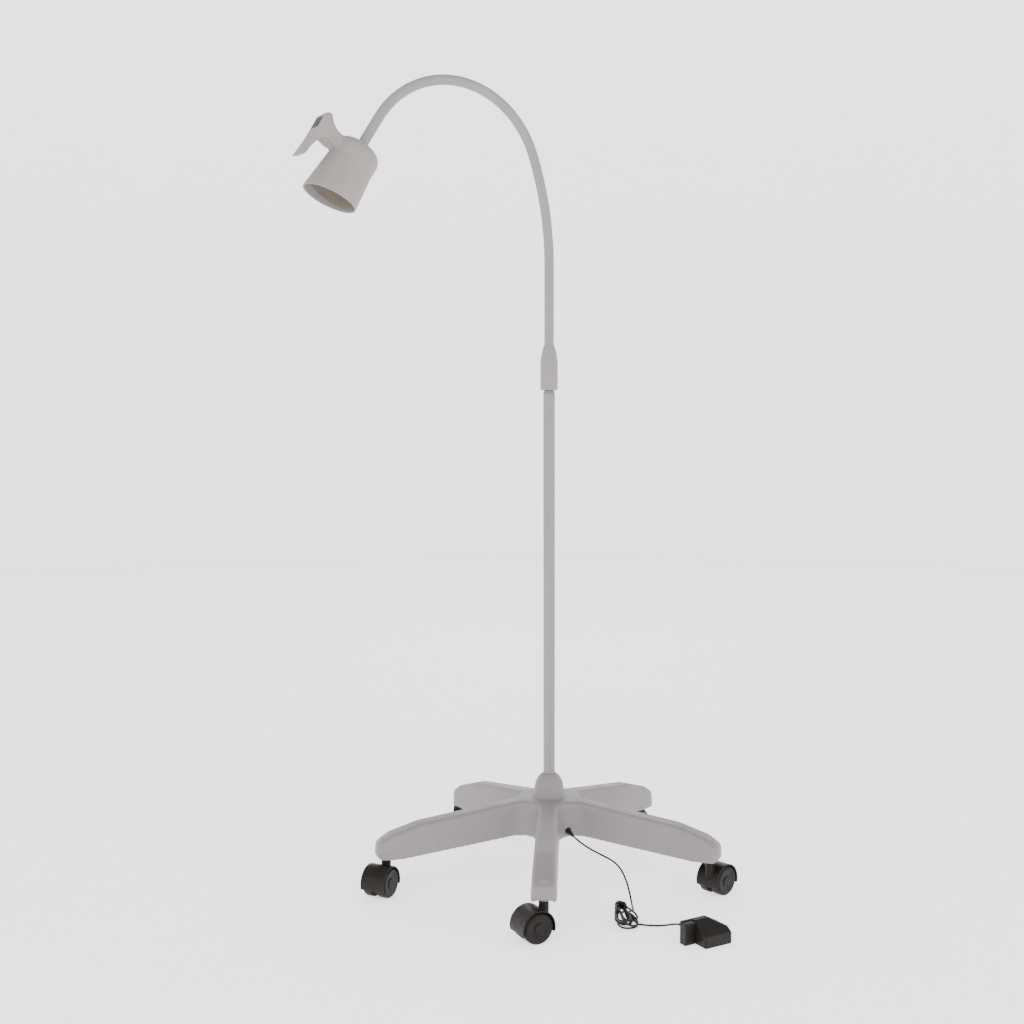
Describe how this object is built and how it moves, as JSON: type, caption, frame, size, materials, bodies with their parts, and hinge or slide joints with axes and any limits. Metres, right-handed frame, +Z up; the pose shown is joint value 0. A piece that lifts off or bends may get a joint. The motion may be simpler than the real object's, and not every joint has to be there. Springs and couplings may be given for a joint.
{
  "type": "surgical examination light",
  "caption": "Small surgical examination light: a lamp head with a handle on a gooseneck, on a pole and a star base with twin-wheel casters and a corded wall adapter.",
  "frame": {"origin": "the pole's axis at floor level, under the middle of the star base", "axes": "+Z up along the pole; the gooseneck bends in the XZ plane and carries the head towards -X"},
  "size_m": [0.7355, 0.7499, 1.3435],
  "materials": {
    "base_paint": "satin",
    "stand_paint": "satin",
    "neck_sleeve": "matte",
    "head_shell": "satin",
    "head_lining": "satin",
    "black_trim": "satin",
    "lens": "polished",
    "led": "satin",
    "circuit_board": "satin",
    "sensor_window": "gloss",
    "heat_sink": "satin",
    "steel": "satin",
    "bush": "matte",
    "caster_hood": "satin",
    "caster_wheel": "satin",
    "grommet": "matte",
    "cord": "satin",
    "tie": "matte",
    "adapter": "satin",
    "blades": "satin"
  },
  "bodies": {
    "stand": {"star_base": "base_paint", "pole": "stand_paint", "pole_insert": "steel", "pole_bolt": "steel", "pole_bush": "bush", "caster_stems": "steel", "cord_gland": "grommet", "pole_lead": "cord", "cord_to_hank": "cord", "cord_to_adapter": "cord", "cord_hank": "cord", "hank_tie": "tie", "adapter_case": "adapter", "adapter_back": "adapter", "adapter_blades": "blades", "adapter_relief": "grommet"},
    "caster_right_rear": {"caster_hood_right_rear": "caster_hood", "caster_axle_right_rear": "steel"},
    "wheel_right_rear_a": {"caster_wheel_right_rear_a": "caster_wheel"},
    "wheel_right_rear_b": {"caster_wheel_right_rear_b": "caster_wheel"},
    "caster_rear": {"caster_hood_rear": "caster_hood", "caster_axle_rear": "steel"},
    "wheel_rear_a": {"caster_wheel_rear_a": "caster_wheel"},
    "wheel_rear_b": {"caster_wheel_rear_b": "caster_wheel"},
    "caster_left": {"caster_hood_left": "caster_hood", "caster_axle_left": "steel"},
    "wheel_left_a": {"caster_wheel_left_a": "caster_wheel"},
    "wheel_left_b": {"caster_wheel_left_b": "caster_wheel"},
    "caster_front": {"caster_hood_front": "caster_hood", "caster_axle_front": "steel"},
    "wheel_front_a": {"caster_wheel_front_a": "caster_wheel"},
    "wheel_front_b": {"caster_wheel_front_b": "caster_wheel"},
    "caster_right": {"caster_hood_right": "caster_hood", "caster_axle_right": "steel"},
    "wheel_right_a": {"caster_wheel_right_a": "caster_wheel"},
    "wheel_right_b": {"caster_wheel_right_b": "caster_wheel"},
    "neck_foot": {"neck_ferrule": "stand_paint", "ferrule_screw": "steel", "neck_base": "neck_sleeve"},
    "neck_1": {"neck_section_1": "neck_sleeve"},
    "neck_2": {"neck_section_2": "neck_sleeve"},
    "neck_3": {"neck_section_3": "neck_sleeve"},
    "neck_4": {"neck_section_4": "neck_sleeve"},
    "neck_5": {"neck_section_5": "neck_sleeve"},
    "neck_6": {"neck_section_6": "neck_sleeve"},
    "neck_7": {"neck_section_7": "neck_sleeve"},
    "head": {"neck_section_8": "neck_sleeve", "head_front_shell": "head_shell", "head_rear_housing": "head_shell", "sensor_window": "sensor_window", "sensor_board": "circuit_board", "light_baffle": "head_lining", "lens_ring": "black_trim", "lens": "lens", "led": "led", "led_board": "circuit_board", "heat_sink": "heat_sink", "head_screws": "steel", "neck_nut": "steel"}
  },
  "joints": [
    {"name": "caster_swivel_right_rear", "type": "hinge", "parent": "stand", "child": "caster_right_rear", "pos_m": [0.26814, 0.10508, 0.05], "axis": [0, 0, 1], "continuous": true},
    {"name": "wheel_spin_right_rear_a", "type": "hinge", "parent": "caster_right_rear", "child": "wheel_right_rear_a", "pos_m": [0.24645, 0.11565, 0.025], "axis": [-0.866, -0.5, 0], "continuous": true},
    {"name": "wheel_spin_right_rear_b", "type": "hinge", "parent": "caster_right_rear", "child": "wheel_right_rear_b", "pos_m": [0.26983, 0.12915, 0.025], "axis": [-0.866, -0.5, 0], "continuous": true},
    {"name": "caster_swivel_rear", "type": "hinge", "parent": "stand", "child": "caster_rear", "pos_m": [-0.01708, 0.28749, 0.05], "axis": [0, 0, 1], "continuous": true},
    {"name": "wheel_spin_rear_a", "type": "hinge", "parent": "caster_rear", "child": "wheel_rear_a", "pos_m": [-0.01877, 0.31156, 0.025], "axis": [-0.866, 0.5, 0], "continuous": true},
    {"name": "wheel_spin_rear_b", "type": "hinge", "parent": "caster_rear", "child": "wheel_rear_b", "pos_m": [0.00461, 0.29806, 0.025], "axis": [-0.866, 0.5, 0], "continuous": true},
    {"name": "caster_swivel_left", "type": "hinge", "parent": "stand", "child": "caster_left", "pos_m": [-0.2787, 0.0726, 0.05], "axis": [0, 0, 1], "continuous": true},
    {"name": "wheel_spin_left_a", "type": "hinge", "parent": "caster_left", "child": "wheel_left_a", "pos_m": [-0.28734, 0.05007, 0.025], "axis": [0.5736, -0.8192, 0], "continuous": true},
    {"name": "wheel_spin_left_b", "type": "hinge", "parent": "caster_left", "child": "wheel_left_b", "pos_m": [-0.30283, 0.07218, 0.025], "axis": [0.5736, -0.8192, 0], "continuous": true},
    {"name": "caster_swivel_front", "type": "hinge", "parent": "stand", "child": "caster_front", "pos_m": [-0.15517, -0.24263, 0.05], "axis": [0, 0, 1], "continuous": true},
    {"name": "wheel_spin_front_a", "type": "hinge", "parent": "caster_front", "child": "wheel_front_a", "pos_m": [-0.17517, -0.25613, 0.025], "axis": [0, -1, 0], "continuous": true},
    {"name": "wheel_spin_front_b", "type": "hinge", "parent": "caster_front", "child": "wheel_front_b", "pos_m": [-0.17517, -0.22913, 0.025], "axis": [0, -1, 0], "continuous": true},
    {"name": "caster_swivel_right", "type": "hinge", "parent": "stand", "child": "caster_right", "pos_m": [0.1828, -0.22255, 0.05], "axis": [0, 0, 1], "continuous": true},
    {"name": "wheel_spin_right_a", "type": "hinge", "parent": "caster_right", "child": "wheel_right_a", "pos_m": [0.19863, -0.20433, 0.025], "axis": [-0.2588, 0.9659, 0], "continuous": true},
    {"name": "wheel_spin_right_b", "type": "hinge", "parent": "caster_right", "child": "wheel_right_b", "pos_m": [0.20561, -0.23041, 0.025], "axis": [-0.2588, 0.9659, 0], "continuous": true},
    {"name": "neck_swivel", "type": "hinge", "parent": "stand", "child": "neck_foot", "pos_m": [0, 0, 0.863], "axis": [0, 0, 1], "range_deg": [-145, 145]},
    {"name": "neck_bend_1", "type": "hinge", "parent": "neck_foot", "child": "neck_1", "pos_m": [0, 0, 0.966], "axis": [0, -1, 0], "range_deg": [-20, 20]},
    {"name": "neck_bend_2", "type": "hinge", "parent": "neck_1", "child": "neck_2", "pos_m": [0, 0, 1.054], "axis": [-1, 0, 0], "range_deg": [-20, 20]},
    {"name": "neck_bend_3", "type": "hinge", "parent": "neck_2", "child": "neck_3", "pos_m": [-0.00711, 0, 1.14161], "axis": [0, -1, 0], "range_deg": [-20, 20]},
    {"name": "neck_bend_4", "type": "hinge", "parent": "neck_3", "child": "neck_4", "pos_m": [-0.0289, 0, 1.22676], "axis": [0, -1, 0], "range_deg": [-20, 8]},
    {"name": "neck_bend_5", "type": "hinge", "parent": "neck_4", "child": "neck_5", "pos_m": [-0.07707, 0, 1.29902], "axis": [-0.6444, 0, -0.7647], "range_deg": [-20, 20]},
    {"name": "neck_bend_6", "type": "hinge", "parent": "neck_5", "child": "neck_6", "pos_m": [-0.15648, 0, 1.33414], "axis": [0, -1, 0], "range_deg": [-20, 8]},
    {"name": "neck_bend_7", "type": "hinge", "parent": "neck_6", "child": "neck_7", "pos_m": [-0.24231, 0, 1.32104], "axis": [0, -1, 0], "range_deg": [-20, 8]},
    {"name": "neck_bend_8", "type": "hinge", "parent": "neck_7", "child": "head", "pos_m": [-0.30764, 0, 1.26385], "axis": [0, -1, 0], "range_deg": [-20, 8]}
  ]
}
